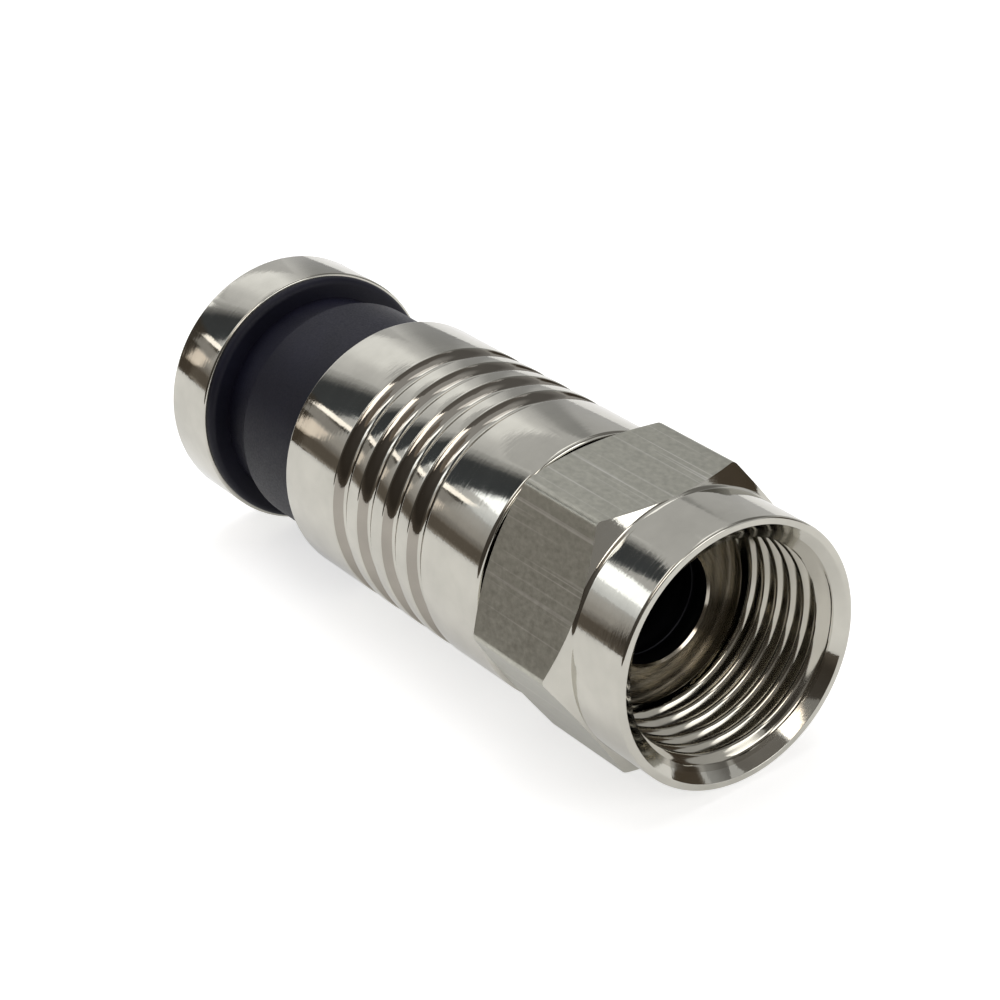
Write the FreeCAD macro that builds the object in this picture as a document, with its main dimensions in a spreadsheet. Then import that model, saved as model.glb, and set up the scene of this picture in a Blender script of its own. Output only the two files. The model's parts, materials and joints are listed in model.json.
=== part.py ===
import FreeCAD, Part
import math
import os
import Sketcher

# Compression type coaxial plug with a swivelling hexagon nut.
# The axis is X. The origin lies on the axis, in the seat that the mating port's end meets.
# The nut's open mouth is on the -X side and the cable leaves at +X.
# +Z is up, and one flat of the hexagon faces down.

# Two lengths that differ by less than this are the same.
SAME = 0.0001

os.makedirs("parts", exist_ok=True)
doc = FreeCAD.newDocument("coaxial_plug")

# Driving dimensions in millimetres. Places along the axis are counted from the mouth,
# and every piece is then set back by the seat's depth.
sheet = doc.addObject("Spreadsheet::Sheet", "dims")
rows = []


def dim(alias, value, note):
    rows.append(alias)
    row = len(rows)
    sheet.set("A%d" % row, alias)
    sheet.set("B%d" % row, str(value))
    sheet.set("C%d" % row, note)
    sheet.setAlias("B%d" % row, alias)


# Clearances and fits
dim("swivel_gap", 0.07, "radial running gap of the nut on the post")
dim("swivel_end_gap", 0.07, "axial gap between the nut's shoulder and the flange")
dim("nut_tail_gap", 0.15, "axial gap between the nut and the barrel")
dim("flange_gap", 0.18, "radial room of the flange inside the thread's crests")
dim("sleeve_gap", 0.04, "radial sliding gap of the sleeve in the barrel")
dim("nose_gap", 0.05, "radial gap of the sleeve's nose in the chamber")
dim("press_gap", 0.0, "radial gap of the pressed joints")
dim("stop_gap", 0.07, "axial gap left at the end of the sleeve's travel")
dim("seat_gap", 0.1, "axial gap between nose and seat cone at the end of the travel")
dim("tip_gap", 0.2, "axial gap between the tube's tip and the sleeve's nose")
dim("cut_margin", 2, "how far cutting outlines reach past the material")

# Nut, inside. The thread is the size that mates with the port.
dim("thread_radius", 4.38, "crest radius of the inner thread")
dim("seat_depth", 4.93, "mouth to the seat of the mating port")
dim("entry_depth", 0.79, "depth of the entry cone, from the mouth to the first full crest")
dim("entry_step", 0.82, "radius of the mouth over the thread's crests")
dim("relief_slope", 0.2, "run of the relief's front slope")
dim("relief_step", 0.52, "radius of the relief over the thread's crests")
dim("tail_break", 0.12, "small chamfer on the rear bore")
dim("mouth_radius", "=thread_radius + entry_step", "inner edge of the mouth's rim")
dim("relief_radius", "=thread_radius + relief_step", "relief that holds the flange")

# Nut, outside
dim("rim_width", 0.3, "wall of the nut at its mouth")
dim("flat_rise", 0.055, "height of the flats over the collar")
dim("collar_length", 3.05, "collar up to the hexagon")
dim("hex_length", 5.65, "hexagon with both chamfers")
dim("corner_break", 0.05, "material taken off the hexagon's corners")
dim("chamfer_angle", 33, "slope of the hexagon's end chamfers in degrees")
dim("junction_round", 0.25, "hollow round between collar and hexagon")
dim("mouth_round", 0.13, "outer round at the mouth")
dim("collar_radius", "=mouth_radius + rim_width", "turned collar at the mouth")
dim("across_flats", "=2 * (collar_radius + flat_rise)", "seven sixteenths of an inch")
dim("corner_radius", "=across_flats / 2 / cos(30 deg)", "hexagon centre to corner")
dim("hex_radius", "=corner_radius - corner_break", "turned radius of the corners")
dim("chamfer_run", "=(hex_radius - collar_radius) * tan(chamfer_angle * 1 deg)", "axial")
dim("nut_length", "=collar_length + hex_length", "mouth to the nut's rear face")

# Inner post
dim("post_bore", 2.45, "bore for the cable's insulation")
dim("post_break", 0.09, "chamfer at the bore's front edge")
dim("flange_thickness", 1.15, "flange of the post")
dim("flange_round", 0.15, "round on the flange's front edge")
dim("bearing_width", 0.45, "width of the flange that holds the nut's shoulder")
dim("tube_wall", 0.35, "wall of the tube behind the shank")
dim("barb_rise", 0.35, "height of the barb over the tube")
dim("barb_length", 1.3, "length of the barb")
dim("tip_wall", 0.17, "wall at the tube's tip")
dim("flange_radius", "=thread_radius - flange_gap", "flange of the post")
dim("shoulder_radius", "=flange_radius - bearing_width", "bore of the nut's shoulder")
dim("shank_radius", "=shoulder_radius - swivel_gap", "shank that carries the nut")
dim("tube_radius", "=post_bore + tube_wall", "tube behind the shank")
dim("barb_radius", "=tube_radius + barb_rise", "barb near the tube's end")
dim("tip_radius", "=post_bore + tip_wall", "outer radius at the tube's tip")
dim("flange_rear", "=seat_depth + flange_thickness", "rear face of the flange")
dim("shoulder_front", "=flange_rear + swivel_end_gap", "shoulder inside the nut")

# Sliding sleeve and end ring, radii
dim("cable_radius", 3.65, "bore for the cable's jacket")
dim("nose_wall", 0.75, "wall at the nose's end")
dim("sleeve_wall", 1.45, "wall of the land that slides in the barrel")
dim("neck_depth", 0.4, "depth of the neck behind the land")
dim("lip_rise", 0.5, "height of the lip over the land")
dim("spigot_step", 0.3, "height of the lip over the part inside the ring")
dim("ring_wall", 0.435, "side wall of the ring")
dim("opening_step", 0.1, "room of the ring's opening around the cable's bore")
dim("nose_radius", "=cable_radius + nose_wall", "outer radius of the nose's end")
dim("sleeve_radius", "=cable_radius + sleeve_wall", "land")
dim("neck_radius", "=sleeve_radius - neck_depth", "neck behind the land")
dim("lip_radius", "=sleeve_radius + lip_rise", "lip in front of the ring")
dim("spigot_radius", "=lip_radius - spigot_step", "part inside the ring")
dim("ring_bore", "=spigot_radius + press_gap", "bore pressed on the sleeve")
dim("ring_radius", "=ring_bore + ring_wall", "outside of the ring")
dim("ring_opening", "=cable_radius + opening_step", "cable opening in the end wall")

# Barrel
dim("barrel_length", 14.23, "front face to rear face")
dim("barrel_wall", 0.55, "wall around the sleeve")
dim("web_length", 3.3, "solid front part that is pressed on the shank")
dim("barrel_front_round", 0.18, "round on the front edge")
dim("barrel_rear_round", 0.12, "round on the rear edge")
dim("barrel_break", 0.16, "chamfer at the rear bore")
dim("groove_setback", 4.45, "front face to the middle of the first grip groove")
dim("groove_pitch", 1.833, "distance between the grip grooves")
dim("groove_count", 4, "grip grooves")
dim("groove_width", 1.1, "width of a groove at the surface")
dim("groove_depth", 0.32, "depth of a groove")
dim("groove_lip", 0.08, "round on the edges of the grooves")
dim("sleeve_bore", "=sleeve_radius + sleeve_gap", "bore around the sleeve")
dim("barrel_radius", "=sleeve_bore + barrel_wall", "outside of the barrel")
dim("barrel_bore", "=shank_radius + press_gap", "bore pressed on the shank")
dim("chamber_radius", "=nose_radius + nose_gap", "chamber in front of the seat cone")
dim("barrel_front", "=nut_length + nut_tail_gap", "front face of the barrel")
dim("barrel_rear", "=barrel_front + barrel_length", "rear face of the barrel")
dim("chamber_front", "=barrel_front + web_length", "front end of the chamber")
dim("groove_first", "=barrel_front + groove_setback", "middle of the first groove")
dim("groove_rise", "=groove_width * groove_width / 8 / groove_depth", "part of the arc")
dim("groove_arc", "=groove_rise + groove_depth / 2", "radius of the groove's section")
dim("groove_centre", "=barrel_radius - groove_depth + groove_arc", "centre of the section")

# Sliding sleeve and end ring, along the axis
dim("nose_insertion", 1.88, "how deep the nose stands in the barrel at rest")
dim("nose_length", 0.9, "cone of the nose")
dim("land_length", 5.52, "land behind the nose")
dim("neck_length", 1.93, "neck behind the land")
dim("lip_length", 0.38, "thickness of the lip")
dim("sleeve_break", 0.06, "small chamfer at the land's rear edge")
dim("lip_round", 0.28, "round on the lip")
dim("ring_length", 2.87, "front face to rear face of the ring")
dim("ring_web", 0.5, "thickness of the ring's end wall")
dim("ring_front_round", 0.1, "round on the front edge")
dim("ring_rear_round", 0.2, "round on the rear edge")
dim("ring_break", 0.15, "chamfer of the cable opening")
dim("nose_front", "=barrel_rear - nose_insertion", "front end of the nose")
dim("nose_rear", "=nose_front + nose_length", "end of the nose's cone")
dim("sleeve_rear", "=nose_rear + land_length", "rear end of the land")
dim("lip_front", "=sleeve_rear + neck_length", "front face of the lip")
dim("ring_front", "=lip_front + lip_length", "front face of the ring")
dim("ring_rear", "=ring_front + ring_length", "rear face of the ring")
dim("ring_seat", "=ring_rear - ring_web", "inner face of the ring's end wall")
dim("travel", "=lip_front - barrel_rear - stop_gap", "way of the sleeve to its stop")
dim("cone_front", "=nose_front - travel - seat_gap", "front end of the seat cone")
dim("cone_rear", "=nose_rear - travel - seat_gap", "rear end of the seat cone")
dim("post_end", "=nose_front - tip_gap", "rear end of the post's tube")
dim("barb_front", "=post_end - barb_length", "step of the barb")
doc.recompute()


def value(alias):
    return float(sheet.get(alias))


def formula(text):
    # A corner place may be one dimension, or a sum or difference of two.
    out = []
    for word in text.split():
        out.append(word if word in "+-" else "dims." + word)
    return " ".join(out)


def number(text):
    total = 0.0
    sign = 1.0
    for word in text.split():
        if word == "+":
            sign = 1.0
        elif word == "-":
            sign = -1.0
        else:
            total += sign * value(word)
    return total


def plane(body, role):
    for feature in body.Origin.OriginFeatures:
        if feature.Role == role:
            return [(feature, "")]
    raise RuntimeError("no plane " + role)


def bind(sketch, index, name, text):
    sketch.renameConstraint(index, name)
    sketch.setExpression("Constraints." + name, formula(text))


def profile(body, name, corners):
    """Closed outline of straight sides, with rounds at the corners that name one."""
    sketch = body.newObject("Sketcher::SketchObject", name)
    sketch.AttachmentSupport = plane(body, "XY_Plane")
    sketch.MapMode = "FlatFace"
    pts = []
    for place, radius, blend in corners:
        x = 0.0 if place == "0" else number(place)
        pts.append(FreeCAD.Vector(x, number(radius), 0))
    count = len(pts)
    start = []
    end = []
    arcs = {}
    for i in range(count):
        blend = corners[i][2]
        if blend is None:
            start.append(pts[i])
            end.append(pts[i])
            continue
        before = (pts[i - 1] - pts[i]).normalize()
        after = (pts[(i + 1) % count] - pts[i]).normalize()
        half = before.getAngle(after) / 2
        size = value(blend)
        reach = size / math.tan(half)
        centre = pts[i] + (before + after).normalize() * (size / math.sin(half))
        end.append(pts[i] + before * reach)
        start.append(pts[i] + after * reach)
        arcs[i] = (centre, size)
    lines = []
    for i in range(count):
        j = (i + 1) % count
        lines.append(sketch.addGeometry(Part.LineSegment(start[i], end[j]), False))
    for i in range(count):
        place, radius, blend = corners[i]
        previous = lines[i - 1]
        following = lines[i]
        if blend is None:
            sketch.addConstraint(Sketcher.Constraint("Coincident", previous, 2, following, 1))
            geo = following
            pos = 1
        else:
            centre, size = arcs[i]
            first = end[i] - centre
            last = start[i] - centre
            a0 = math.atan2(first.y, first.x)
            a1 = math.atan2(last.y, last.x)
            turn = (a1 - a0) % (2 * math.pi)
            circle = Part.Circle(centre, FreeCAD.Vector(0, 0, 1), size)
            if turn < math.pi:
                arc = sketch.addGeometry(Part.ArcOfCircle(circle, a0, a0 + turn), False)
                head = 1
                tail = 2
            else:
                turn = 2 * math.pi - turn
                arc = sketch.addGeometry(Part.ArcOfCircle(circle, a1, a1 + turn), False)
                head = 2
                tail = 1
            sketch.addConstraint(Sketcher.Constraint("Tangent", previous, 2, arc, head))
            sketch.addConstraint(Sketcher.Constraint("Tangent", following, 1, arc, tail))
            index = sketch.addConstraint(Sketcher.Constraint("Radius", arc, size))
            bind(sketch, index, "round%d" % i, blend)
            geo = sketch.addGeometry(Part.Point(pts[i]), True)
            pos = 1
            sketch.addConstraint(Sketcher.Constraint("PointOnObject", geo, 1, previous))
            sketch.addConstraint(Sketcher.Constraint("PointOnObject", geo, 1, following))
        if place == "0":
            sketch.addConstraint(Sketcher.Constraint("PointOnObject", geo, pos, -2))
        else:
            made = Sketcher.Constraint("DistanceX", -1, 1, geo, pos, pts[i].x)
            bind(sketch, sketch.addConstraint(made), "place%d" % i, place)
        made = Sketcher.Constraint("DistanceY", -1, 1, geo, pos, pts[i].y)
        bind(sketch, sketch.addConstraint(made), "radius%d" % i, radius)
    return sketch


def turned(label, corners):
    """One turned piece: a body whose outline is revolved about the axis."""
    body = doc.addObject("PartDesign::Body", label)
    body.Label = label
    sketch = profile(body, label + "_outline", corners)
    solid = body.newObject("PartDesign::Revolution", label + "_turning")
    solid.Profile = sketch
    solid.ReferenceAxis = (sketch, ["H_Axis"])
    solid.Angle = 360.0
    sketch.Visibility = False
    body.Placement = FreeCAD.Placement(FreeCAD.Vector(-value("seat_depth"), 0, 0), FreeCAD.Rotation())
    body.setExpression("Placement.Base.x", "-dims.seat_depth")
    return body


# Coupling nut: collar, hexagon and thread bore in one piece.
nut = turned("coupling_nut", [
    ("0", "mouth_radius", None),
    ("entry_depth", "thread_radius", None),
    ("seat_depth", "thread_radius", None),
    ("seat_depth + relief_slope", "relief_radius", None),
    ("shoulder_front", "relief_radius", None),
    ("shoulder_front", "shoulder_radius", None),
    ("nut_length - tail_break", "shoulder_radius", None),
    ("nut_length", "shoulder_radius + tail_break", None),
    ("nut_length", "collar_radius", None),
    ("nut_length - chamfer_run", "hex_radius", None),
    ("collar_length + chamfer_run", "hex_radius", None),
    ("collar_length", "collar_radius", "junction_round"),
    ("0", "collar_radius", "mouth_round"),
])

# The six flats are cut from the turned nut.
flats = nut.newObject("Sketcher::SketchObject", "coupling_nut_flats")
flats.AttachmentSupport = plane(nut, "YZ_Plane")
flats.MapMode = "FlatFace"
corner = value("corner_radius")
reach = corner + value("cut_margin")
rim = Part.Circle(FreeCAD.Vector(0, 0, 0), FreeCAD.Vector(0, 0, 1), reach)
outer = flats.addGeometry(rim, False)
flats.addConstraint(Sketcher.Constraint("Coincident", outer, 3, -1, 1))
index = flats.addConstraint(Sketcher.Constraint("Radius", outer, reach))
flats.renameConstraint(index, "rim")
flats.setExpression("Constraints.rim", "dims.corner_radius + dims.cut_margin")
guide_circle = Part.Circle(FreeCAD.Vector(0, 0, 0), FreeCAD.Vector(0, 0, 1), corner)
guide = flats.addGeometry(guide_circle, True)
flats.addConstraint(Sketcher.Constraint("Coincident", guide, 3, -1, 1))
index = flats.addConstraint(Sketcher.Constraint("Radius", guide, corner))
flats.renameConstraint(index, "corners")
flats.setExpression("Constraints.corners", "dims.corner_radius")
hexagon = []
for i in range(6):
    a = math.radians(60 * i)
    b = math.radians(60 * i + 60)
    p = FreeCAD.Vector(corner * math.cos(a), corner * math.sin(a), 0)
    q = FreeCAD.Vector(corner * math.cos(b), corner * math.sin(b), 0)
    hexagon.append(flats.addGeometry(Part.LineSegment(p, q), False))
for i in range(6):
    side = hexagon[i]
    after = hexagon[(i + 1) % 6]
    flats.addConstraint(Sketcher.Constraint("Coincident", side, 2, after, 1))
    flats.addConstraint(Sketcher.Constraint("PointOnObject", side, 1, guide))
    if i < 5:
        flats.addConstraint(Sketcher.Constraint("Equal", side, after))
flats.addConstraint(Sketcher.Constraint("PointOnObject", hexagon[0], 1, -1))
cut = nut.newObject("PartDesign::Pocket", "coupling_nut_hexagon")
cut.Profile = flats
cut.Reversed = True
cut.Length = value("nut_length") + value("cut_margin")
cut.setExpression("Length", "dims.nut_length + dims.cut_margin")
flats.Visibility = False

# Inner post: flange, shank and barbed tube in one piece.
post = turned("inner_post", [
    ("seat_depth + post_break", "post_bore", None),
    ("seat_depth", "post_bore + post_break", None),
    ("seat_depth", "flange_radius", "flange_round"),
    ("flange_rear", "flange_radius", None),
    ("flange_rear", "shank_radius", None),
    ("chamber_front", "shank_radius", None),
    ("chamber_front", "tube_radius", None),
    ("barb_front", "tube_radius", None),
    ("barb_front", "barb_radius", None),
    ("post_end", "tip_radius", None),
    ("post_end", "post_bore", None),
])

# Barrel: thin tube with a solid front part and four grip grooves.
barrel = turned("connector_body", [
    ("barrel_front", "barrel_bore", None),
    ("barrel_front", "barrel_radius", "barrel_front_round"),
    ("barrel_rear", "barrel_radius", "barrel_rear_round"),
    ("barrel_rear", "sleeve_bore + barrel_break", None),
    ("barrel_rear - barrel_break", "sleeve_bore", None),
    ("cone_rear", "sleeve_bore", None),
    ("cone_front", "chamber_radius", None),
    ("chamber_front", "chamber_radius", None),
    ("chamber_front", "barrel_bore", None),
])
groove_sketch = barrel.newObject("Sketcher::SketchObject", "connector_body_groove_section")
groove_sketch.AttachmentSupport = plane(barrel, "XY_Plane")
groove_sketch.MapMode = "FlatFace"
middle = FreeCAD.Vector(value("groove_first"), value("groove_centre"), 0)
section = Part.Circle(middle, FreeCAD.Vector(0, 0, 1), value("groove_arc"))
geo = groove_sketch.addGeometry(section, False)
index = groove_sketch.addConstraint(Sketcher.Constraint("Radius", geo, value("groove_arc")))
bind(groove_sketch, index, "arc", "groove_arc")
made = Sketcher.Constraint("DistanceX", -1, 1, geo, 3, middle.x)
bind(groove_sketch, groove_sketch.addConstraint(made), "place", "groove_first")
made = Sketcher.Constraint("DistanceY", -1, 1, geo, 3, middle.y)
bind(groove_sketch, groove_sketch.addConstraint(made), "height", "groove_centre")
groove = barrel.newObject("PartDesign::Groove", "connector_body_groove")
groove.Profile = groove_sketch
groove.ReferenceAxis = (groove_sketch, ["H_Axis"])
groove.Angle = 360.0
groove_sketch.Visibility = False
row_of_grooves = barrel.newObject("PartDesign::LinearPattern", "connector_body_grooves")
row_of_grooves.Originals = [groove]
row_of_grooves.Direction = (groove_sketch, ["H_Axis"])
row_of_grooves.Length = value("groove_pitch") * (value("groove_count") - 1)
row_of_grooves.setExpression("Length", "dims.groove_pitch * (dims.groove_count - 1)")
row_of_grooves.Occurrences = int(value("groove_count"))
row_of_grooves.setExpression("Occurrences", "dims.groove_count")
barrel.Tip = row_of_grooves

# Sliding sleeve: nose, land, neck, lip and spigot in one plastic piece.
sleeve = turned("compression_sleeve", [
    ("nose_front", "cable_radius", None),
    ("nose_front", "nose_radius", None),
    ("nose_rear", "sleeve_radius", None),
    ("sleeve_rear - sleeve_break", "sleeve_radius", None),
    ("sleeve_rear", "sleeve_radius - sleeve_break", None),
    ("sleeve_rear", "neck_radius", None),
    ("lip_front", "neck_radius", None),
    ("lip_front", "lip_radius", "lip_round"),
    ("ring_front", "lip_radius", None),
    ("ring_front", "spigot_radius", None),
    ("ring_seat", "spigot_radius", None),
    ("ring_seat", "cable_radius", None),
])

# End ring: a cup that is pressed over the sleeve's spigot.
ring = turned("end_ring", [
    ("ring_front", "ring_bore", None),
    ("ring_front", "ring_radius", "ring_front_round"),
    ("ring_rear", "ring_radius", "ring_rear_round"),
    ("ring_rear", "ring_opening + ring_break", None),
    ("ring_rear - ring_break", "ring_opening", None),
    ("ring_seat", "ring_opening", None),
    ("ring_seat", "ring_bore", None),
])

doc.recompute()

# The sharp edges of the grooves are rounded.
edges = []
first = value("groove_first") - value("groove_width")
run = value("groove_pitch") * (value("groove_count") - 1)
last = value("groove_first") + run + value("groove_width")
for i, edge in enumerate(row_of_grooves.Shape.Edges):
    curve = edge.Curve
    if curve.TypeId != "Part::GeomCircle":
        continue
    if abs(curve.Radius - value("barrel_radius")) > SAME:
        continue
    if first < curve.Center.x < last:
        edges.append("Edge%d" % (i + 1))
lips = barrel.newObject("PartDesign::Fillet", "connector_body_groove_edges")
lips.Base = (row_of_grooves, edges)
lips.Radius = value("groove_lip")
lips.setExpression("Radius", "dims.groove_lip")
barrel.Tip = lips
doc.recompute()

# Every object has to be sound before a file is written.
for item in doc.Objects:
    for word in item.State:
        if word in ("Invalid", "Error"):
            raise RuntimeError("not sound: " + item.Name)
for item in doc.Objects:
    if item.TypeId == "Sketcher::SketchObject" and item.FullyConstrained is False:
        raise RuntimeError("sketch is not fixed: " + item.Name)

for body in (nut, post, barrel, sleeve, ring):
    shape = body.Shape
    if shape.isNull() or not shape.isValid():
        raise RuntimeError("bad shape: " + body.Label)
    shape.exportStep("parts/" + body.Label + ".step")
    box = shape.BoundBox
    print(body.Label, round(shape.Volume, 2), len(shape.Solids), [
        round(box.XMin, 3), round(box.XMax, 3), round(box.YMax, 3), round(box.ZMax, 3)])
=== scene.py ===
"""Looks of a compression plug for coaxial cable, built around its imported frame.

The axis of the plug is X: the mouth looks along -X and the cable enters from +X. Outlines are
written in millimetres and become metres when a mesh is made."""
import json
import math

import bmesh
import bpy
from mathutils import Matrix, Vector


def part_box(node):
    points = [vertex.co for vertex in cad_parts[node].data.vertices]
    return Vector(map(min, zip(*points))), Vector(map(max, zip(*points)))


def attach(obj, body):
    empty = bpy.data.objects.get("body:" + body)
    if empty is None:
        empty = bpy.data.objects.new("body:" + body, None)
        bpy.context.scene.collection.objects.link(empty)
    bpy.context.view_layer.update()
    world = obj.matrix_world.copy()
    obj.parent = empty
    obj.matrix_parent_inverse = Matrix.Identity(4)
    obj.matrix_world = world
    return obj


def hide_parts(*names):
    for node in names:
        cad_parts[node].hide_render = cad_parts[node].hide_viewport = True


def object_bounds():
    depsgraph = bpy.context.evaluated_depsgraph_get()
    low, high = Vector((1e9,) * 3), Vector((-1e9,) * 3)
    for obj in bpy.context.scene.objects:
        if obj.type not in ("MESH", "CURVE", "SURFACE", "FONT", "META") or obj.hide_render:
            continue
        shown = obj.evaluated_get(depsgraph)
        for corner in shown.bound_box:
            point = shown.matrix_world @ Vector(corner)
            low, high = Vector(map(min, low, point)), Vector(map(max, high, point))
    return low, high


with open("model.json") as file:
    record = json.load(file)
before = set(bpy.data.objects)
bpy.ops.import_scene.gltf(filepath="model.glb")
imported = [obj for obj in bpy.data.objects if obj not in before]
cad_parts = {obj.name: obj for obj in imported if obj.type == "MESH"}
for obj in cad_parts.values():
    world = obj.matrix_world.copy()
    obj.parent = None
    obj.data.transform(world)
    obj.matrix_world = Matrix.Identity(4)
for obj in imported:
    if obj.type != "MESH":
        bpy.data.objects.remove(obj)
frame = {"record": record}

MM = 0.001
cad_low, cad_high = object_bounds()


# Sizes from the frame

def span(node):
    """First place, last place and largest radius of a node, in millimetres."""
    low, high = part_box(node)
    return low.x / MM, high.x / MM, high.z / MM


NUT_FRONT, NUT_REAR, NUT_FLAT = span("coupling_nut")
POST_FRONT, POST_REAR, FLANGE_RADIUS = span("inner_post")
BARREL_FRONT, BARREL_REAR, BARREL_RADIUS = span("connector_body")
SLEEVE_FRONT, RING_SEAT, LIP_RADIUS = span("compression_sleeve")
RING_FRONT, RING_REAR, RING_RADIUS = span("end_ring")
NUT_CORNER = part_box("coupling_nut")[1].y / MM
MOUNTS = {mount["name"]: mount for mount in frame["record"]["mounts"]}
THREAD_RADIUS = MOUNTS["port_thread"]["dims"]["r_mm"]
BORE_RADIUS = MOUNTS["insulation_bore"]["dims"]["r_mm"]
CABLE_RADIUS = MOUNTS["cable_entry"]["dims"]["r_mm"]

# Sizes of the nut
COLLAR_RADIUS = NUT_FLAT - 0.055
COLLAR_LENGTH = 3.05
CHAMFER_ANGLE = math.radians(33)
JUNCTION_ROUND = 0.25
MOUTH_RADIUS = COLLAR_RADIUS - 0.3
MOUTH_ROUND = 0.13
MOUTH_EDGE = 0.05
ENTRY_DEPTH = 0.79
ENTRY_SLOPE = (MOUTH_RADIUS - THREAD_RADIUS) / ENTRY_DEPTH
PLAIN_ENTRY = 0.34
RELIEF_RADIUS = THREAD_RADIUS + 0.52
RELIEF_SLOPE = 0.2
SHOULDER_FRONT = 1.22
SHOULDER_RADIUS = FLANGE_RADIUS - 0.45
TAIL_BREAK = 0.12

# Inner thread of the nut: 32 turns to the inch, right-handed
THREAD_PITCH = 25.4 / 32
THREAD_DEPTH = 0.44
CREST_WIDTH = 0.2
ROOT_WIDTH = 0.09
THREAD_ROUND = 0.07
ROUND_SAMPLES = 4
CREST_PHASE = 0.25

# Sizes of the post
FLANGE_REAR = 1.15
FLANGE_ROUND = 0.15
BORE_BREAK = 0.09
BORE_RINGS = (1.0, 2.8)
RING_RISE = 0.04
SHANK_RADIUS = SHOULDER_RADIUS - 0.07
TUBE_RADIUS = BORE_RADIUS + 0.35
BARB_RISE = 0.35
BARB_LENGTH = 1.3
TIP_WALL = 0.17

# Sizes of the barrel
WEB_LENGTH = 3.3
BARREL_BORE = BARREL_RADIUS - 0.55
BARREL_FRONT_ROUND = 0.18
BARREL_REAR_ROUND = 0.12
BARREL_BREAK = 0.16
CHAMBER_RADIUS = 4.45
SEAT_CONE = (BARREL_REAR - 8.38, BARREL_REAR - 7.48)
GROOVE_SETBACK = 4.45
GROOVE_PITCH = 1.833
GROOVE_COUNT = 4
GROOVE_WIDTH = 1.1
GROOVE_DEPTH = 0.32
GROOVE_LIP = 0.08
# Where the groove walls towards the mouth are painted darker, as painted shade
GROOVE_WALL_START = 0.1
GROOVE_WALL_DEPTHS = (0.05, 0.95 * GROOVE_DEPTH)

# Sizes of the sleeve and the ring
NOSE_RADIUS = CABLE_RADIUS + 0.75
NOSE_LENGTH = 0.9
SLEEVE_RADIUS = CABLE_RADIUS + 1.45
SLEEVE_BREAK = 0.06
NECK_RADIUS = SLEEVE_RADIUS - 0.4
NECK_ROUND = 0.1
LIP_LENGTH = 0.38
LIP_ROUND = 0.28
NECK_FRONT = 22.69
SPIGOT_RADIUS = LIP_RADIUS - 0.3
RING_OPENING = CABLE_RADIUS + 0.1
RING_FRONT_ROUND = 0.1
RING_REAR_ROUND = 0.2
RING_BREAK = 0.15

# Fineness of the meshes
COLUMNS = 384
ROUND_STEPS = 8
SHARP_ANGLE = math.radians(28)
NO_GAP = 0.001


# Meshes

def rounded(corners, closed=True):
    """Outline through (x, radius) corners; a third number rounds the corner with that radius."""
    points = []
    count = len(corners)
    for i, corner in enumerate(corners):
        here = Vector(corner[:2])
        if len(corner) < 3 or (not closed and i in (0, count - 1)):
            points.append(tuple(here))
            continue
        before = (Vector(corners[i - 1][:2]) - here).normalized()
        after = (Vector(corners[(i + 1) % count][:2]) - here).normalized()
        half = before.angle(after) / 2
        reach = corner[2] / math.tan(half)
        centre = here + (before + after).normalized() * (corner[2] / math.sin(half))
        first = here + before * reach - centre
        last = here + after * reach - centre
        start = math.atan2(first.y, first.x)
        turn = math.atan2(last.y, last.x) - start
        turn = (turn + math.pi) % (2 * math.pi) - math.pi
        for step in range(ROUND_STEPS + 1):
            angle = start + turn * step / ROUND_STEPS
            points.append((centre.x + corner[2] * math.cos(angle), centre.y + corner[2] * math.sin(angle)))
    return points


def place(x, radius, angle):
    return (x * MM, radius * math.cos(angle) * MM, radius * math.sin(angle) * MM)


def finish_mesh(name, verts, faces, marks, materials):
    """Object from plain lists, with coincident vertices joined and its sharp edges marked."""
    mesh = bpy.data.meshes.new(name)
    mesh.from_pydata(verts, [], faces)
    for material in materials:
        mesh.materials.append(material)
    mesh.polygons.foreach_set("material_index", marks)
    work = bmesh.new()
    work.from_mesh(mesh)
    bmesh.ops.remove_doubles(work, verts=work.verts, dist=1e-7)
    bmesh.ops.dissolve_degenerate(work, edges=work.edges, dist=1e-7)
    bmesh.ops.recalc_face_normals(work, faces=work.faces)
    work.to_mesh(mesh)
    work.free()
    mesh.shade_smooth()
    mesh.set_sharp_from_angle(angle=SHARP_ANGLE)
    piece = bpy.data.objects.new(name, mesh)
    bpy.context.scene.collection.objects.link(piece)
    weighting = piece.modifiers.new("weighted", "WEIGHTED_NORMAL")
    weighting.keep_sharp = True
    return piece


def turned(name, corners, materials, mark=None):
    """Turned piece: a closed outline carried round the axis. mark(x, r) picks the material."""
    points = rounded(corners)
    angles = [2 * math.pi * j / COLUMNS for j in range(COLUMNS)]
    verts = [place(x, radius, angle) for angle in angles for x, radius in points]
    count = len(points)
    faces = []
    marks = []
    for j in range(COLUMNS):
        here = j * count
        there = (j + 1) % COLUMNS * count
        for i in range(count):
            k = (i + 1) % count
            faces.append((here + i, here + k, there + k, there + i))
            middle = ((points[i][0] + points[k][0]) / 2, (points[i][1] + points[k][1]) / 2)
            marks.append(mark(*middle) if mark else 0)
    return finish_mesh(name, verts, faces, marks, materials)


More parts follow.
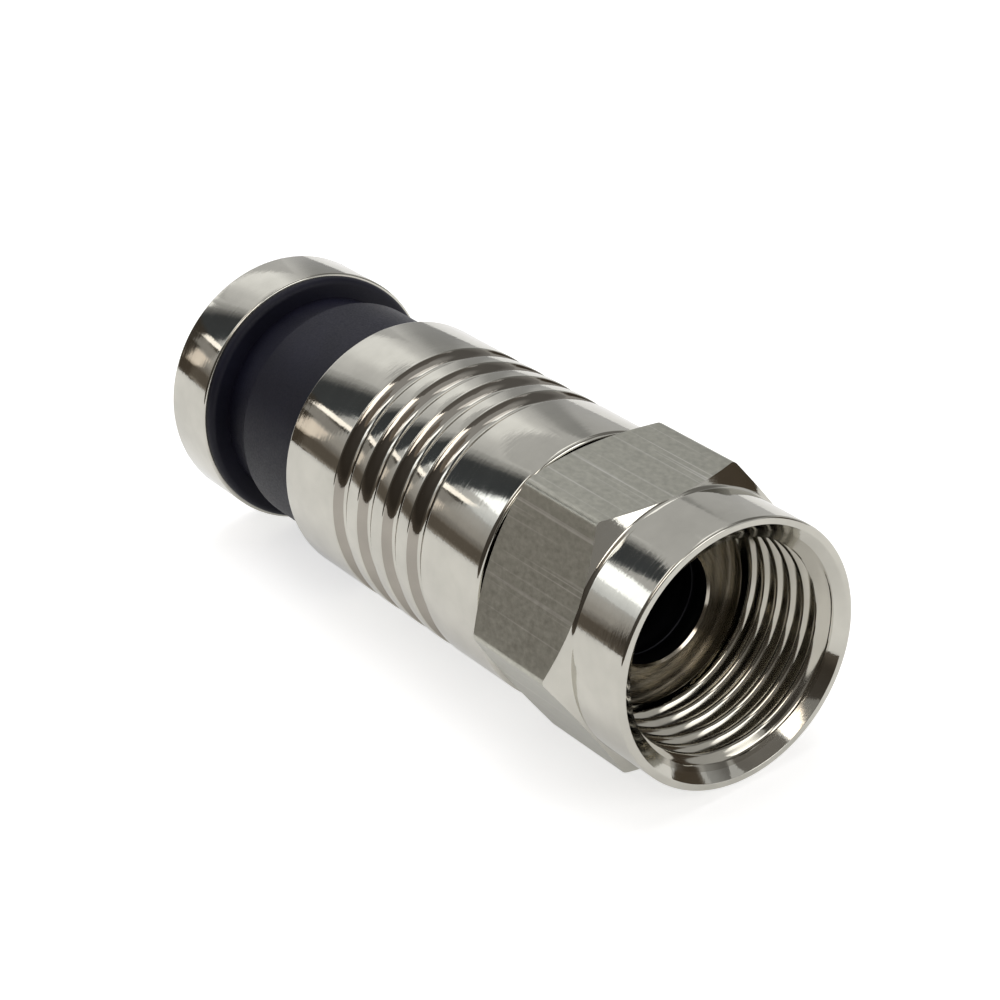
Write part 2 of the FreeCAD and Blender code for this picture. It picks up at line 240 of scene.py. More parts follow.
def groove(middle):
    """Outline of one grip groove with rounded lips, from front to rear."""
    rise = GROOVE_WIDTH ** 2 / 8 / GROOVE_DEPTH
    arc = rise + GROOVE_DEPTH / 2
    centre = BARREL_RADIUS - GROOVE_DEPTH + arc
    drop = centre - (BARREL_RADIUS - GROOVE_LIP)
    lip_reach = math.sqrt((arc + GROOVE_LIP) ** 2 - drop ** 2)
    lean = math.atan2(lip_reach, drop)
    points = []
    for step in range(ROUND_STEPS + 1):
        angle = lean * step / ROUND_STEPS
        points.append((-lip_reach + GROOVE_LIP * math.sin(angle),
                       BARREL_RADIUS - GROOVE_LIP + GROOVE_LIP * math.cos(angle)))
    for step in range(1, 2 * ROUND_STEPS):
        angle = lean * (step / ROUND_STEPS - 1)
        points.append((arc * math.sin(angle), centre - arc * math.cos(angle)))
    for step in range(ROUND_STEPS, -1, -1):
        angle = lean * step / ROUND_STEPS
        points.append((lip_reach - GROOVE_LIP * math.sin(angle),
                       BARREL_RADIUS - GROOVE_LIP + GROOVE_LIP * math.cos(angle)))
    return [(middle + x, radius) for x, radius in points]


# Coupling nut

CORNER_ROUND = (NUT_FLAT / math.cos(math.pi / 6) - NUT_CORNER) / (1 / math.cos(math.pi / 6) - 1)
CORNER_CENTRE = (NUT_FLAT - CORNER_ROUND) / math.cos(math.pi / 6)
CORNER_REACH = math.atan2(CORNER_ROUND * math.sin(math.pi / 6),
                          CORNER_CENTRE + CORNER_ROUND * math.cos(math.pi / 6))
CHAMFER_RUN = (NUT_CORNER - COLLAR_RADIUS) * math.tan(CHAMFER_ANGLE)
CORNER_COLUMNS = 4
FLAT_COLUMNS = 56


def nut_angles():
    """Columns of the nut: close together on the rounded corners, even on the flats."""
    angles = []
    for side in range(6):
        corner = side * math.pi / 3
        for k in range(-CORNER_COLUMNS, CORNER_COLUMNS + 1):
            angles.append(corner + CORNER_REACH * k / CORNER_COLUMNS)
        width = math.pi / 3 - 2 * CORNER_REACH
        for k in range(1, FLAT_COLUMNS):
            angles.append(corner + CORNER_REACH + width * k / FLAT_COLUMNS)
    return angles


def hexagon_radius(angle):
    """Radius of the hexagon with its rounded corners in one direction."""
    off = (angle + math.pi / 6) % (math.pi / 3) - math.pi / 6
    if abs(off) < CORNER_REACH:
        across = CORNER_CENTRE * math.sin(off)
        return CORNER_CENTRE * math.cos(off) + math.sqrt(CORNER_ROUND ** 2 - across ** 2)
    return NUT_FLAT / math.cos(math.pi / 6 - abs(off))


def below(points, radius):
    """The outline with what stands over a radius moved to where it crosses that radius."""
    out = list(points)
    for i in range(1, len(points)):
        low, high = points[i - 1], points[i]
        if low[1] < high[1] and low[1] <= radius < high[1]:
            share = (radius - low[1]) / (high[1] - low[1])
            crossing = (low[0] + (high[0] - low[0]) * share, radius)
            for k in range(i, len(points)):
                out[k] = crossing
            break
    return out


def nut_outside():
    """Outline from the rear face to the collar, and the part of it that the hexagon bounds."""
    rear = [(NUT_REAR, COLLAR_RADIUS), (NUT_REAR - CHAMFER_RUN, NUT_CORNER)]
    junction = NUT_FRONT + COLLAR_LENGTH
    front = rounded([
        (junction - 1, COLLAR_RADIUS),
        (junction, COLLAR_RADIUS, JUNCTION_ROUND),
        (junction + CHAMFER_RUN, NUT_CORNER),
    ], closed=False)
    return rear, front[1:]


def thread_depth(along):
    """Depth of the thread over its crests, at a distance from the middle of a crest.

    The mean over several places close by rounds the corners of crests and roots."""
    depth = 0.0
    flank = (THREAD_PITCH - CREST_WIDTH - ROOT_WIDTH) / 2
    for step in range(-ROUND_SAMPLES, ROUND_SAMPLES + 1):
        shifted = along + THREAD_ROUND * step / ROUND_SAMPLES
        off = abs((shifted + THREAD_PITCH / 2) % THREAD_PITCH - THREAD_PITCH / 2)
        depth += min(max((off - CREST_WIDTH / 2) / flank, 0.0), 1.0)
    return THREAD_DEPTH * depth / (2 * ROUND_SAMPLES + 1)


THREAD_START = NUT_FRONT + PLAIN_ENTRY
THREAD_END = RELIEF_SLOPE
TURN_ROWS = 24


def entry_radius(x):
    """Radius of the cone that leads from the mouth's rim down to the thread's crests."""
    return MOUTH_RADIUS - (x - NUT_FRONT) * ENTRY_SLOPE


def thread_radius(x, angle):
    """Radius of the threaded wall, cut back by the entry cone and by the relief's slope."""
    wall = THREAD_RADIUS + thread_depth(x - CREST_PHASE - THREAD_PITCH * angle / (2 * math.pi))
    relief = RELIEF_RADIUS - (THREAD_END - x) / RELIEF_SLOPE * (RELIEF_RADIUS - THREAD_RADIUS)
    return max(wall, entry_radius(x), relief)


def coupling_nut(turned_finish, flat_finish, thread_finish):
    angles = nut_angles()
    rear, front = nut_outside()
    inner = [(THREAD_END, RELIEF_RADIUS), (SHOULDER_FRONT, RELIEF_RADIUS),
             (SHOULDER_FRONT, SHOULDER_RADIUS), (NUT_REAR - TAIL_BREAK, SHOULDER_RADIUS),
             (NUT_REAR, SHOULDER_RADIUS + TAIL_BREAK)]
    mouth = rounded([
        (NUT_FRONT + COLLAR_LENGTH, COLLAR_RADIUS),
        (NUT_FRONT, COLLAR_RADIUS, MOUTH_ROUND),
        (NUT_FRONT, MOUTH_RADIUS, MOUTH_EDGE),
        (THREAD_START, entry_radius(THREAD_START)),
    ], closed=False)[1:]
    verts = []
    for angle in angles:
        height = hexagon_radius(angle)
        rise = below(rear, height)
        fall = below(front, height)[::-1]
        column = inner + rise + fall + mouth
        verts += [place(x, radius, angle) for x, radius in column]
    count = len(inner) + len(rear) + len(front) + len(mouth)
    flat_row = len(inner) + len(rear) - 1
    faces = []
    marks = []
    for j in range(len(angles)):
        here = j * count
        there = (j + 1) % len(angles) * count
        for i in range(count - 1):
            faces.append((here + i, here + i + 1, there + i + 1, there + i))
            marks.append(1 if i == flat_row else 0)
    # The threaded wall has rows that climb with the thread.
    rows = math.ceil((THREAD_END - THREAD_START) / THREAD_PITCH + 1) * TURN_ROWS
    base = len(verts)
    shifted = angles + [angles[0] + 2 * math.pi]
    for angle in shifted:
        for i in range(rows + 1):
            climb = THREAD_PITCH * (i / TURN_ROWS - 1 + (angle - angles[0]) / (2 * math.pi))
            x = min(max(THREAD_START + climb, THREAD_START), THREAD_END)
            verts.append(place(x, thread_radius(x, angle), angle))
    for j in range(len(angles)):
        here = base + j * (rows + 1)
        there = here + rows + 1
        for i in range(rows):
            faces.append((here + i, here + i + 1, there + i + 1, there + i))
            marks.append(2)
    return finish_mesh("threaded_nut", verts, faces, marks, [turned_finish, flat_finish, thread_finish])


# Turned pieces

def post(finish, bore_shade):
    """Flange, shank and barbed tube in one piece, with a bore painted near black as shade."""
    def mark(x, radius):
        return 1 if radius < BORE_RADIUS + NO_GAP and x > POST_FRONT + 2 * BORE_BREAK else 0

    barb_front = POST_REAR - BARB_LENGTH
    chamber_front = BARREL_FRONT + WEB_LENGTH
    rings = []
    for depth in BORE_RINGS[::-1]:
        rings += [(depth + RING_RISE, BORE_RADIUS), (depth, BORE_RADIUS - RING_RISE),
                  (depth - RING_RISE, BORE_RADIUS)]
    return turned("flanged_post", [
        (POST_FRONT + 3 * BORE_BREAK, BORE_RADIUS),
        (POST_FRONT + BORE_BREAK, BORE_RADIUS),
        (POST_FRONT, BORE_RADIUS + BORE_BREAK),
        (POST_FRONT, FLANGE_RADIUS, FLANGE_ROUND),
        (FLANGE_REAR, FLANGE_RADIUS),
        (FLANGE_REAR, SHANK_RADIUS),
        (chamber_front, SHANK_RADIUS),
        (chamber_front, TUBE_RADIUS),
        (barb_front, TUBE_RADIUS),
        (barb_front, TUBE_RADIUS + BARB_RISE),
        (POST_REAR, BORE_RADIUS + TIP_WALL),
        (POST_REAR, BORE_RADIUS),
    ] + rings, [finish, bore_shade], mark)


def barrel(finish, groove_shade):
    """Barrel with its grip grooves, whose walls towards the mouth take a darker colour of their own: painted
    shade.
    """
    def mark(x, radius):
        behind = (x - BARREL_FRONT - GROOVE_SETBACK + GROOVE_PITCH / 2) % GROOVE_PITCH - GROOVE_PITCH / 2
        on_wall = GROOVE_WALL_START < behind < GROOVE_WIDTH / 2 + GROOVE_LIP
        depth = BARREL_RADIUS - radius
        return 1 if on_wall and GROOVE_WALL_DEPTHS[0] < depth < GROOVE_WALL_DEPTHS[1] else 0

    chamber_front = BARREL_FRONT + WEB_LENGTH
    outline = [
        (BARREL_FRONT, SHANK_RADIUS),
        (BARREL_FRONT, BARREL_RADIUS, BARREL_FRONT_ROUND),
    ]
    for number in range(GROOVE_COUNT):
        outline += groove(BARREL_FRONT + GROOVE_SETBACK + number * GROOVE_PITCH)
    outline += [
        (BARREL_REAR, BARREL_RADIUS, BARREL_REAR_ROUND),
        (BARREL_REAR, BARREL_BORE + BARREL_BREAK),
        (BARREL_REAR - BARREL_BREAK, BARREL_BORE),
        (SEAT_CONE[1], BARREL_BORE),
        (SEAT_CONE[0], CHAMBER_RADIUS),
        (chamber_front, CHAMBER_RADIUS),
        (chamber_front, SHANK_RADIUS),
    ]
    return turned("grooved_barrel", outline, [finish, groove_shade], mark)


def sleeve(finish):
    """Sleeve with its nose, land and neck, the lip in front of the ring and the ring's spigot."""
    lip_front = RING_FRONT - LIP_LENGTH
    return turned("plastic_sleeve", [
        (SLEEVE_FRONT, CABLE_RADIUS),
        (SLEEVE_FRONT, NOSE_RADIUS),
        (SLEEVE_FRONT + NOSE_LENGTH, SLEEVE_RADIUS),
        (NECK_FRONT - SLEEVE_BREAK, SLEEVE_RADIUS),
        (NECK_FRONT, SLEEVE_RADIUS - SLEEVE_BREAK),
        (NECK_FRONT, NECK_RADIUS, NECK_ROUND),
        (lip_front, NECK_RADIUS),
        (lip_front, LIP_RADIUS, LIP_ROUND),
        (RING_FRONT, LIP_RADIUS),
        (RING_FRONT, SPIGOT_RADIUS),
        (RING_SEAT, SPIGOT_RADIUS),
        (RING_SEAT, CABLE_RADIUS),
    ], [finish])


def ring(finish):
    """Ring pressed on the sleeve's spigot, with the cable's opening."""
    return turned("pressed_ring", [
        (RING_FRONT, SPIGOT_RADIUS),
        (RING_FRONT, RING_RADIUS, RING_FRONT_ROUND),
        (RING_REAR, RING_RADIUS, RING_REAR_ROUND),
        (RING_REAR, RING_OPENING + RING_BREAK),
        (RING_REAR - RING_BREAK, RING_OPENING),
        (RING_SEAT, RING_OPENING),
        (RING_SEAT, SPIGOT_RADIUS),
    ], [finish])


# Materials

class Sheet:
    """A material's nodes, with short ways to add and join them."""

    def __init__(self, name):
        self.material = bpy.data.materials.new(name)
        self.material.use_nodes = True
        self.nodes = self.material.node_tree.nodes
        self.links = self.material.node_tree.links
        self.shader = self.nodes["Principled BSDF"]

    def add(self, kind, **settings):
        node = self.nodes.new("ShaderNode" + kind)
        for name, value in settings.items():
            setattr(node, name, value)
        return node

    def join(self, source, target):
        self.links.new(source, target)

    def math(self, operation, first, second=None):
        node = self.add("Math", operation=operation)
        for socket, value in zip(node.inputs, (first, second)):
            if value is None:
                continue
            if isinstance(value, (int, float)):
                socket.default_value = value
            else:
                self.join(value, socket)
        return node.outputs[0]

    def axes(self):
        """Place on the piece as x, y and z."""
        coordinates = self.add("TexCoord")
        split = self.add("SeparateXYZ")
        self.join(coordinates.outputs["Object"], split.inputs[0])
        return split.outputs

    def vector(self, first, second, third, sizes):
        """Three values as a place in noise, each divided by the size that one feature has."""
        node = self.add("CombineXYZ")
        for socket, value, size in zip(node.inputs, (first, second, third), sizes):
            self.join(self.math("DIVIDE", value, size), socket)
        return node.outputs[0]

    def noise(self, vector, detail=2.0, roughness=0.5):
        node = self.add("TexNoise")
        node.inputs["Scale"].default_value = 1.0
        node.inputs["Detail"].default_value = detail
        node.inputs["Roughness"].default_value = roughness
        self.join(vector, node.inputs["Vector"])
        return node.outputs[0]

    def ramp(self, value, low, high, start, end):
        node = self.add("MapRange")
        self.join(value, node.inputs["Value"])
        for name, number in (("From Min", low), ("From Max", high), ("To Min", start), ("To Max", end)):
            node.inputs[name].default_value = number
        return node.outputs[0]

    def tint(self, factor, first, second):
        node = self.add("Mix", data_type="RGBA")
        self.join(factor, node.inputs["Factor"])
        node.inputs["A"].default_value = (*first, 1)
        node.inputs["B"].default_value = (*second, 1)
        return node.outputs["Result"]

    def bump(self, height, depth):
        """Adds a bump of a real depth in metres over the bumps added before."""
        node = self.add("Bump")
        node.inputs["Strength"].default_value = 1.0
        node.inputs["Distance"].default_value = depth
        self.join(height, node.inputs["Height"])
        normal = self.shader.inputs["Normal"]
        if normal.is_linked:
            self.join(normal.links[0].from_socket, node.inputs["Normal"])
        self.join(node.outputs[0], normal)


NICKEL = (0.56, 0.545, 0.49)


def nickel(name, colour=NICKEL, smooth=0.035, rough=0.09, anisotropy=0.5, marks=1.3e-6, pores=1e-6):
    """Turned nickel plating: fine turning marks round the axis over a faint unevenness."""
    sheet = Sheet(name)
    x, y, z = sheet.axes()
    squares = sheet.math("ADD", sheet.math("MULTIPLY", y, y), sheet.math("MULTIPLY", z, z))
    along = sheet.math("ADD", x, sheet.math("SQRT", squares))
    fine = sheet.noise(sheet.vector(along, y, z, (0.11e-3, 2e-3, 2e-3)), detail=2.0, roughness=0.6)
    wide = sheet.noise(sheet.vector(along, y, z, (0.5e-3, 6e-3, 6e-3)))
    uneven = sheet.noise(sheet.vector(x, y, z, (1.6e-3, 1.6e-3, 1.6e-3)), detail=3.0)
    grain = sheet.noise(sheet.vector(x, y, z, (0.16e-3, 0.16e-3, 0.16e-3)), detail=2.0, roughness=0.6)
    shade = sheet.tint(sheet.ramp(uneven, 0.35, 0.65, 0, 1),
                       tuple(c * 0.94 for c in colour), tuple(c * 1.04 for c in colour))
    sheet.join(shade, sheet.shader.inputs["Base Color"])
    sheet.join(sheet.ramp(fine, 0.3, 0.7, smooth, rough), sheet.shader.inputs["Roughness"])
    sheet.shader.inputs["Metallic"].default_value = 1.0
    sheet.shader.inputs["Anisotropic"].default_value = anisotropy
    sheet.shader.inputs["Anisotropic Rotation"].default_value = 0.25
    tangent = sheet.add("Tangent", direction_type="RADIAL", axis="X")
    sheet.join(tangent.outputs[0], sheet.shader.inputs["Tangent"])
    sheet.bump(uneven, 2.4e-6)
    sheet.bump(wide, 1.6e-6)
    sheet.bump(grain, pores)
    sheet.bump(fine, marks)
    return sheet.material


DRAWN_NICKEL = (0.45, 0.443, 0.385)
SCRATCH = (0.8, 0.78, 0.74)


def drawn_nickel(name):
    """The hexagon's flats: satin plating with drawn scratches along the bar it was cut from."""
    sheet = Sheet(name)
    x, y, z = sheet.axes()
    grain = sheet.noise(sheet.vector(x, y, z, (0.4e-3, 0.08e-3, 0.08e-3)), detail=2.0, roughness=0.6)
    cloud = sheet.noise(sheet.vector(x, y, z, (0.3e-3, 0.2e-3, 0.2e-3)), detail=3.0, roughness=0.6)
    scratches = sheet.noise(sheet.vector(x, y, z, (14e-3, 0.13e-3, 0.13e-3)), detail=1.0)
    lines = sheet.ramp(scratches, 0.61, 0.74, 0, 0.55)
    clouded = sheet.tint(sheet.ramp(cloud, 0.25, 0.75, 0, 1),
                         tuple(c * 0.85 for c in DRAWN_NICKEL), tuple(c * 1.15 for c in DRAWN_NICKEL))
    shade = sheet.tint(lines, DRAWN_NICKEL, SCRATCH)
    sheet.join(clouded, shade.node.inputs["A"])
    sheet.join(shade, sheet.shader.inputs["Base Color"])
    sheet.join(sheet.ramp(cloud, 0.3, 0.7, 0.28, 0.34), sheet.shader.inputs["Roughness"])
    sheet.shader.inputs["Metallic"].default_value = 1.0
    sheet.bump(grain, 0.25e-6)
    return sheet.material


def shaded_bore(name):
    """Bore painted near black as shade deep in the tube, on rough metal that lets little light back out."""
    sheet = Sheet(name)
    x, y, z = sheet.axes()
    along = sheet.noise(sheet.vector(x, y, z, (0.3e-3, 5e-3, 5e-3)))
    # Near-black colour: painted shade in the deep bore
    shade = sheet.tint(sheet.ramp(along, 0.3, 0.7, 0, 1), (0.012, 0.012, 0.016), (0.03, 0.03, 0.035))
    sheet.join(shade, sheet.shader.inputs["Base Color"])
    sheet.join(sheet.ramp(along, 0.3, 0.7, 0.45, 0.6), sheet.shader.inputs["Roughness"])
    sheet.shader.inputs["Metallic"].default_value = 1.0
    sheet.bump(along, 2e-6)
    return sheet.material


def black_plastic(name):
    """Matt moulded plastic, blue-black, with a fine grain."""
    sheet = Sheet(name)
    x, y, z = sheet.axes()
    grain = sheet.noise(sheet.vector(x, y, z, (0.09e-3, 0.09e-3, 0.09e-3)), detail=3.0, roughness=0.6)
    cloud = sheet.noise(sheet.vector(x, y, z, (2e-3, 2e-3, 2e-3)))
    shade = sheet.tint(sheet.ramp(cloud, 0.3, 0.7, 0, 1), (0.004, 0.004, 0.011), (0.007, 0.007, 0.017))
    sheet.join(shade, sheet.shader.inputs["Base Color"])
    sheet.join(sheet.ramp(grain, 0.3, 0.7, 0.42, 0.58), sheet.shader.inputs["Roughness"])
    sheet.shader.inputs["IOR"].default_value = 1.46
    sheet.shader.inputs["Specular IOR Level"].default_value = 0.3
    sheet.bump(grain, 4e-6)
    return sheet.material


# Studio

FLOOR_HALF = 1.6
FLOOR_DROP = 0.00002
FLOOR_COLOUR = (0.6, 0.6, 0.6, 1)
BACKGROUND = 0.67
MIRRORED_SHARE = 0.62
WORLD_LEVEL = 0.62
SCREEN_DISTANCE = 1.4
NEAR = 0.98 * SCREEN_DISTANCE
NEAREST = 0.98 * NEAR
SCREEN_STEP = 4
SOFTBOX_SIZE = 0.5
SOFTBOX_POWER = 2.0
SOFTBOX_PLACE = Vector((0.1, -0.1, 0.7))
PLUG_MIDDLE = (cad_low + cad_high) / 2


def seen_rays(tree):
    """1 for what the camera sees directly or through glass, and less for what metal shows."""
    path = tree.nodes.new("ShaderNodeLightPath")
    total = path.outputs["Is Camera Ray"]
    for name, share in (("Is Glossy Ray", MIRRORED_SHARE), ("Is Transmission Ray", 1.0)):
        part = tree.nodes.new("ShaderNodeMath")
        part.operation = "MULTIPLY"
        tree.links.new(path.outputs[name], part.inputs[0])
        part.inputs[1].default_value = share
        larger = tree.nodes.new("ShaderNodeMath")
        larger.operation = "MAXIMUM"
        tree.links.new(total, larger.inputs[0])
        tree.links.new(part.outputs[0], larger.inputs[1])
        total = larger.outputs[0]
    return total


def floor():
    """White floor that keeps a soft shadow."""
    mesh = bpy.data.meshes.new("floor")
    corners = [(-FLOOR_HALF, -FLOOR_HALF), (FLOOR_HALF, -FLOOR_HALF),
               (FLOOR_HALF, FLOOR_HALF), (-FLOOR_HALF, FLOOR_HALF)]
    mesh.from_pydata([(x, y, cad_low.z - FLOOR_DROP) for x, y in corners], [], [(0, 1, 2, 3)])
    piece = bpy.data.objects.new("floor", mesh)
    bpy.context.scene.collection.objects.link(piece)
    material = bpy.data.materials.new("white_floor")
    material.use_nodes = True
    tree = material.node_tree
    shader = tree.nodes["Principled BSDF"]
    shader.inputs["Base Color"].default_value = FLOOR_COLOUR
    shader.inputs["Roughness"].default_value = 1.0
    shader.inputs["Specular IOR Level"].default_value = 0.0
    shader.inputs["Emission Color"].default_value = (1, 1, 1, 1)
    level = tree.nodes.new("ShaderNodeMath")
    level.operation = "MULTIPLY"
    tree.links.new(seen_rays(tree), level.inputs[0])
    level.inputs[1].default_value = BACKGROUND
    tree.links.new(level.outputs[0], shader.inputs["Emission Strength"])
    mesh.materials.append(material)


def glow(name, colours, direction):
    """Material of a studio card, running from one colour to the next across it or upwards."""
    material = bpy.data.materials.new(name)
    material.use_nodes = True
    tree = material.node_tree
    tree.nodes.clear()
    out = tree.nodes.new("ShaderNodeOutputMaterial")
    light = tree.nodes.new("ShaderNodeEmission")
    tree.links.new(light.outputs[0], out.inputs[0])
    light.inputs["Strength"].default_value = 1.0
    coordinates = tree.nodes.new("ShaderNodeTexCoord")
    split = tree.nodes.new("ShaderNodeSeparateXYZ")
    ramp = tree.nodes.new("ShaderNodeValToRGB")
    tree.links.new(coordinates.outputs["UV"], split.inputs[0])
    tree.links.new(split.outputs[direction], ramp.inputs[0])
    elements = ramp.color_ramp.elements
    while len(elements) < len(colours):
        elements.new(0.5)
    for element, (position, colour) in zip(elements, colours):
        element.position = position
        element.color = (*colour, 1)
    ramp.color_ramp.interpolation = "EASE"
    tree.links.new(ramp.outputs[0], light.inputs["Color"])
    return material


def screen(name, azimuths, elevations, material, climb=0.0, distance=SCREEN_DISTANCE):
    """Curved studio card round the plug between two azimuths and two elevations, in degrees.

    Its far end stands higher than its near end by climb."""
    columns = math.ceil((azimuths[1] - azimuths[0]) / SCREEN_STEP)
    rows = math.ceil((elevations[1] - elevations[0]) / SCREEN_STEP)
    verts = []
    places = []
    for i in range(rows + 1):
        for j in range(columns + 1):
            u = j / columns
            v = i / rows
            azimuth = math.radians(azimuths[0] + (azimuths[1] - azimuths[0]) * u)
            elevation = math.radians(elevations[0] + (elevations[1] - elevations[0]) * v + climb * u)
            level = math.cos(elevation)
            out = Vector((math.cos(azimuth) * level, math.sin(azimuth) * level, math.sin(elevation)))
            verts.append(PLUG_MIDDLE + out * distance)
            places.append((u, v))
    faces = []
    for i in range(rows):
        for j in range(columns):
            low = i * (columns + 1) + j
            faces.append((low, low + 1, low + columns + 2, low + columns + 1))
    mesh = bpy.data.meshes.new(name)
    mesh.from_pydata(verts, [], faces)
    layer = mesh.uv_layers.new(name="UVMap")
    for loop in mesh.loops:
        layer.data[loop.index].uv = places[loop.vertex_index]
    mesh.materials.append(material)
    piece = bpy.data.objects.new(name, mesh)
    bpy.context.scene.collection.objects.link(piece)
    piece.visible_camera = False
    piece.visible_shadow = False


def grey(level, warmth=0.0):
    return (level, level * (1 - warmth / 2), level * (1 - warmth))


ACROSS = 0
UPWARDS = 1


def panel(name, azimuths, elevations, direction, steps, climb=0.0, distance=SCREEN_DISTANCE):
    """Screen whose steps of place, level and warmth run across it or upwards."""
    colours = [(position, grey(level, warmth)) for position, level, warmth in steps]
    screen(name, azimuths, elevations, glow(name, colours, direction), climb, distance)


def studio():
    """World, floor, the cards that the metal mirrors, and one soft lamp that only lights."""
    world = bpy.data.worlds.new("studio")
    bpy.context.scene.world = world
    world.use_nodes = True
    background = world.node_tree.nodes["Background"]
    background.inputs["Color"].default_value = (1, 1, 1, 1)
    level = world.node_tree.nodes.new("ShaderNodeMath")
    level.operation = "MAXIMUM"
    world.node_tree.links.new(seen_rays(world.node_tree), level.inputs[0])
    level.inputs[1].default_value = WORLD_LEVEL
    world.node_tree.links.new(level.outputs[0], background.inputs["Strength"])
    floor()
    # Dark room on the +Y side
    panel("dark_wall", (50, 152), (0, 47), UPWARDS, [
        (0.0, 0.12, 0.3), (0.2, 0.06, 0.3), (0.45, 0.07, 0.25), (0.7, 0.09, 0.2), (1.0, 0.13, 0.15)])
    panel("grey_room", (152, 182), (0, 33), UPWARDS, [(0.0, 0.15, 0.1), (0.4, 0.28, 0.08), (1.0, 0.3, 0.05)])
    panel("dark_edge", (158, 190), (-8, 3.5), UPWARDS, [(0.0, 0.07, 0.2), (1.0, 0.07, 0.2)],
          climb=22, distance=NEAR)
    panel("door_lamp", (146, 178), (29.5, 46.5), UPWARDS, [
        (0.0, 2.6, 0.3), (0.15, 3.8, 0.08), (0.85, 3.8, 0.08), (1.0, 2.6, 0.3)], climb=8, distance=NEAR)
    panel("cupboard", (9, 36), (-0.3, 23.5), UPWARDS, [(0.0, 0.08, 0.4), (1.0, 0.06, 0.3)])
    panel("skirting", (34, 50), (0.5, 9.5), UPWARDS, [(0.0, 0.35, 0.2), (0.25, 0.14, 0.3), (0.8, 0.14, 0.3),
                                                     (1.0, 0.24, 0.2)], distance=NEAR)
    panel("shelf", (36, 50), (9.5, 23.5), UPWARDS, [(0.0, 0.24, 0.15), (0.35, 0.45, 0.1), (0.8, 0.55, 0.05),
                                                   (1.0, 0.62, 0.0)])
    panel("golden_shelf", (30.5, 36), (7, 16.5), UPWARDS, [
        (0.0, 0.6, 0.3), (0.25, 1.1, 0.22), (0.8, 1.1, 0.22), (1.0, 0.5, 0.1)], distance=NEAR)
    panel("shelf_edge", (27, 36), (16.5, 21.5), UPWARDS, [(0.0, 0.35, 0.1), (1.0, 0.35, 0.1)], distance=NEAR)
    panel("line_lamp", (26.5, 36), (20.8, 23.4), UPWARDS, [(0.0, 1.9, 0.12), (1.0, 1.9, 0.12)],
          climb=3, distance=NEAREST)
    panel("slate_wall", (6, 31), (23, 49), ACROSS, [
        (0.0, 0.75, 0.0), (0.2, 0.45, 0.0), (0.32, 0.2, 0.0), (0.44, 0.06, -0.15), (0.9, 0.06, -0.2),
        (1.0, 0.15, -0.1)])
    panel("pale_wall", (29, 36), (23.4, 33), ACROSS, [(0.0, 0.45, -0.05), (0.4, 0.7, 0.0), (1.0, 0.75, 0.0)])
    panel("window_side", (36, 50), (23.4, 31), UPWARDS, [(0.0, 0.85, -0.05), (1.0, 1.15, -0.05)])
    panel("window", (31, 50), (30, 38.5), ACROSS, [(0.0, 1.0, -0.1), (0.1, 2.0, -0.06), (1.0, 1.9, -0.05)],
          distance=NEAR)
    # Ceiling and lamps
    panel("olive_wall", (75, 150), (47, 76), ACROSS, [(0.0, 0.3, 0.35), (1.0, 0.32, 0.2)])
    panel("high_lamp", (20, 75), (50.5, 62), UPWARDS, [(0.0, 2.2, 0.2), (0.15, 2.4, 0.0), (0.85, 2.4, 0.0),
                                                      (1.0, 2.2, 0.2)])
    panel("low_lamp", (-8, 12), (19, 29), UPWARDS, [(0.0, 1.5, 0.0), (1.0, 1.5, 0.0)])
    panel("ceiling", (-30, 8), (24, 35.5), ACROSS, [(0.0, 0.75, 0.0), (0.2, 1.15, 0.0), (0.5, 1.1, 0.0),
                                                   (0.8, 0.8, 0.0), (1.0, 0.7, 0.0)], climb=8, distance=NEAR)
    panel("far_wall", (-48, -30), (-0.3, 32), ACROSS, [(0.0, 0.58, 0.0), (0.35, 0.55, 0.0), (0.5, 0.36, 0.0),
                                                      (0.65, 0.38, 0.0), (1.0, 0.7, 0.0)])
    panel("overhead", (-62, -22), (48, 85), ACROSS, [(0.0, 1.7, 0.0), (1.0, 1.7, 0.0)])
    panel("grey_wall", (-130, -48), (22, 58), UPWARDS, [(0.0, 0.4, 0.0), (0.3, 0.2, 0.05), (0.65, 0.2, 0.05),
                                                       (1.0, 0.5, 0.0)])
    panel("back_wall", (-180, -130), (36.5, 62), UPWARDS, [(0.0, 0.2, 0.12), (1.0, 0.25, 0.1)])
    panel("side_lamp", (-178, -147), (24, 35), ACROSS, [(0.0, 1.6, 0.0), (0.12, 3.2, 0.0), (1.0, 3.2, 0.0)])
    panel("low_side_lamp", (-167, -147), (17, 24), ACROSS, [
        (0.0, 1.2, 0.0), (0.3, 2.4, 0.0), (1.0, 2.4, 0.0)])
    panel("brown_wall", (-128, -100), (-0.3, 19), UPWARDS, [
        (0.0, 0.08, 0.45), (0.85, 0.09, 0.4), (1.0, 0.2, 0.2)], distance=NEAR)
    lamp = bpy.data.lights.new("softbox", "AREA")
    lamp.shape = "RECTANGLE"
    lamp.size = SOFTBOX_SIZE
    lamp.size_y = SOFTBOX_SIZE
    lamp.energy = SOFTBOX_POWER
    softbox = bpy.data.objects.new("softbox", lamp)
    softbox.location = SOFTBOX_PLACE
    softbox.rotation_euler = (-SOFTBOX_PLACE).to_track_quat("-Z", "Y").to_euler()
    softbox.visible_glossy = False
    softbox.visible_camera = False
    bpy.context.scene.collection.objects.link(softbox)


# Camera, as the photograph was taken

CAMERA_PLACE = Vector((-77.849, 53.744, 57.828)) * MM
CAMERA_AIM = Vector((10.498, 0, 0.477)) * MM
CAMERA_ROLL = math.radians(7.22)
CAMERA_LENS = 104.439


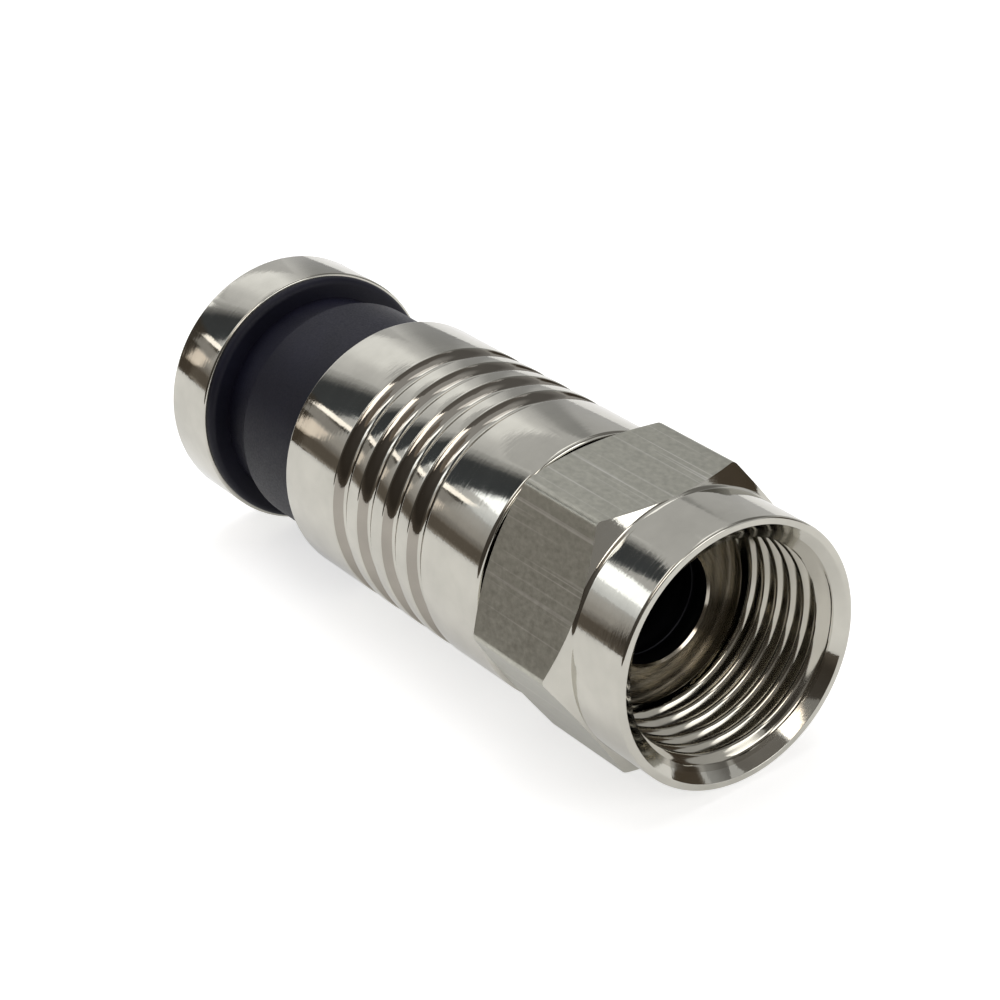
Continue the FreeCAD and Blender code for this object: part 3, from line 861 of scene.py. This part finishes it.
def camera():
    data = bpy.data.cameras.new("camera")
    data.lens = CAMERA_LENS
    data.sensor_width = 36
    data.clip_start = 0.01
    data.clip_end = 10
    piece = bpy.data.objects.new("camera", data)
    bpy.context.scene.collection.objects.link(piece)
    forward = (CAMERA_AIM - CAMERA_PLACE).normalized()
    side = forward.cross(Vector((0, 0, 1))).normalized()
    top = side.cross(forward)
    up = top * math.cos(CAMERA_ROLL) + side * math.sin(CAMERA_ROLL)
    right = forward.cross(up)
    turn = Matrix((right, up, -forward)).transposed()
    piece.matrix_world = Matrix.Translation(CAMERA_PLACE) @ turn.to_4x4()
    bpy.context.scene.camera = piece


# The model

def dress(piece, body, node):
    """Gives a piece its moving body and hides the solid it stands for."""
    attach(piece, body)
    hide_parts(node)


camera()
studio()
bpy.context.scene.view_settings.view_transform = "Standard"

# The thread inside the mouth takes a darker, warmer nickel colour: painted shade in the recess
dress(coupling_nut(nickel("turned_nut"), drawn_nickel("drawn_flats"),
                   nickel("cut_thread_painted_shade", (0.45, 0.43, 0.375), smooth=0.06, rough=0.14, marks=0.4e-6, pores=0)),
      "nut", "coupling_nut")
# The post's flange, deep in the mouth, takes a darker, warmer nickel colour: painted shade
dress(post(nickel("faced_post_painted_shade", (0.5, 0.465, 0.4), smooth=0.1, rough=0.2, pores=0.3e-6),
           shaded_bore("post_bore")), "shell", "inner_post")
# The groove walls take a darker nickel colour: painted shade standing in for the dark reflections they show
dress(barrel(nickel("turned_barrel"), nickel("groove_walls_painted_shade", (0.36, 0.335, 0.295))),
      "shell", "connector_body")
dress(sleeve(black_plastic("sleeve_plastic")), "rear", "compression_sleeve")
dress(ring(nickel("turned_ring")), "rear", "end_ring")
